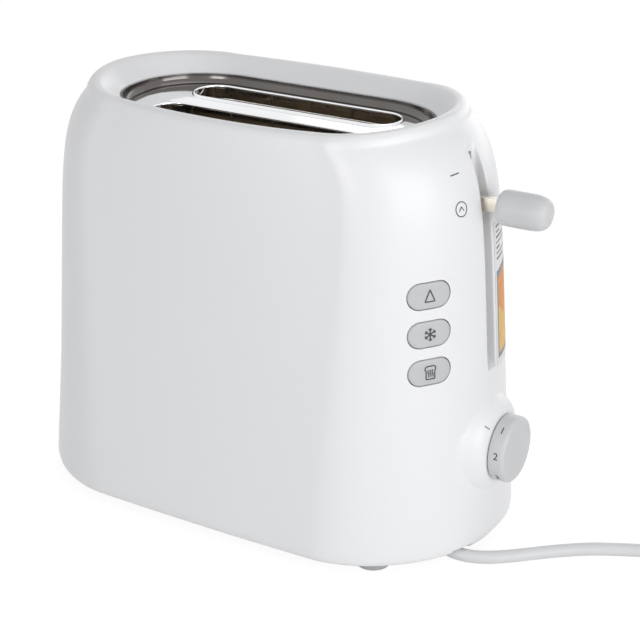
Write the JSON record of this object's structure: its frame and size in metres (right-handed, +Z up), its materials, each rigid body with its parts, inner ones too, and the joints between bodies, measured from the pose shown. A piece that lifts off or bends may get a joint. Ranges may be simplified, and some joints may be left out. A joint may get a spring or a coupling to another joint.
{
  "type": "pop-up toaster",
  "caption": "Two-slot pop-up toaster with a rounded moulded body, chrome slot tray, end lever, browning dial, push buttons, slide-out crumb tray and a coiled mains lead with a round plug.",
  "frame": {"origin": "on the table plane, under the middle of the whole length from the far end wall to the lever knob, midway between the long walls", "axes": "+X along the bread slots towards the lever and dial end, +Y across the slots away from the buttons side, +Z up"},
  "size_m": [0.4037, 0.2676, 0.22],
  "materials": {
    "shell_white": "glossy moulded white",
    "chrome": "polished",
    "steel_sheet": "plain rolled sheet and wire",
    "zinc_arm": "warm zinc plating",
    "plastic_grey": "satin light grey",
    "plastic_pale": "satin",
    "plastic_dark": "matt dark grey",
    "circuit_board": "lacquered laminate",
    "mica": "layered mica sheet",
    "ribbon_metal": "oxidised resistance ribbon",
    "copper": "lacquered winding",
    "foot_rubber": "matt",
    "cord_jacket": "soft satin jacket",
    "brass_pin": "bright",
    "label_paper": "semi-gloss printed sheet"
  },
  "bodies": {
    "toaster_body": {"base_plate": "plastic_pale", "base_screw_1": "steel_sheet", "base_screw_2": "steel_sheet", "base_screw_3": "steel_sheet", "base_screw_4": "steel_sheet", "board_bracket": "plastic_pale", "cancel_switch": "plastic_dark", "carriage_spring": "steel_sheet", "centre_heater_board": "mica", "centre_heating_ribbon_front": "ribbon_metal", "centre_heating_ribbon_rear": "ribbon_metal", "contact_block": "plastic_dark", "control_board": "circuit_board", "cord_coil": "cord_jacket", "cord_end": "cord_jacket", "cord_gland": "cord_jacket", "defrost_switch": "plastic_dark", "end_label": "label_paper", "far_end_plate": "steel_sheet", "front_guide_rod": "steel_sheet", "front_heater_board": "mica", "front_heating_ribbon": "ribbon_metal", "front_left_foot": "foot_rubber", "front_reflector": "steel_sheet", "front_right_foot": "foot_rubber", "front_slot_inner_guard": "steel_sheet", "front_slot_outer_guard": "steel_sheet", "housing_shell": "shell_white", "lever_end_plate": "steel_sheet", "magnet_coil": "copper", "magnet_core": "steel_sheet", "plug_body": "cord_jacket", "plug_pin_1": "brass_pin", "plug_pin_2": "brass_pin", "potentiometer": "plastic_dark", "power_cord": "cord_jacket", "rear_guide_rod": "steel_sheet", "rear_heater_board": "mica", "rear_heating_ribbon": "ribbon_metal", "rear_left_foot": "foot_rubber", "rear_reflector": "steel_sheet", "rear_right_foot": "foot_rubber", "rear_slot_inner_guard": "steel_sheet", "rear_slot_outer_guard": "steel_sheet", "reheat_switch": "plastic_dark", "slot_tray": "chrome", "switch_board": "circuit_board", "terminal_block": "plastic_pale"},
    "carriage": {"carriage_bracket": "steel_sheet", "front_bread_lifter": "steel_sheet", "rear_bread_lifter": "steel_sheet", "keeper_plate": "steel_sheet", "lever_arm": "zinc_arm", "lever_knob": "plastic_grey"},
    "dial": {"browning_dial": "plastic_grey", "dial_shaft": "plastic_pale"},
    "cancel_button": {"cancel_button": "plastic_grey"},
    "defrost_button": {"defrost_button": "plastic_grey"},
    "reheat_button": {"reheat_button": "plastic_grey"},
    "crumb_tray": {"crumb_tray": "steel_sheet"}
  },
  "joints": [
    {"name": "lever_slide", "type": "slide", "parent": "toaster_body", "child": "carriage", "axis": [0, 0, 1], "range_m": [-0.077, 0.018], "stiffness_N_per_m": 60, "springref_m": 0.02, "deforming": ["carriage_spring"]},
    {"name": "dial_turn", "type": "hinge", "parent": "toaster_body", "child": "dial", "pos_m": [0.11999, 0, 0.0542], "axis": [-1, 0, 0], "range_deg": [0, 220]},
    {"name": "cancel_button_press", "type": "slide", "parent": "toaster_body", "child": "cancel_button", "axis": [-0.831, 0.5563, 0], "range_m": [0, 0.0018], "stiffness_N_per_m": 600, "springref_m": -0.0006},
    {"name": "defrost_button_press", "type": "slide", "parent": "toaster_body", "child": "defrost_button", "axis": [-0.831, 0.5563, 0], "range_m": [0, 0.0018], "stiffness_N_per_m": 600, "springref_m": -0.0006},
    {"name": "reheat_button_press", "type": "slide", "parent": "toaster_body", "child": "reheat_button", "axis": [-0.831, 0.5563, 0], "range_m": [0, 0.0018], "stiffness_N_per_m": 600, "springref_m": -0.0006},
    {"name": "crumb_tray_slide", "type": "slide", "parent": "toaster_body", "child": "crumb_tray", "axis": [-1, 0, 0], "range_m": [0, 0.17]}
  ]
}
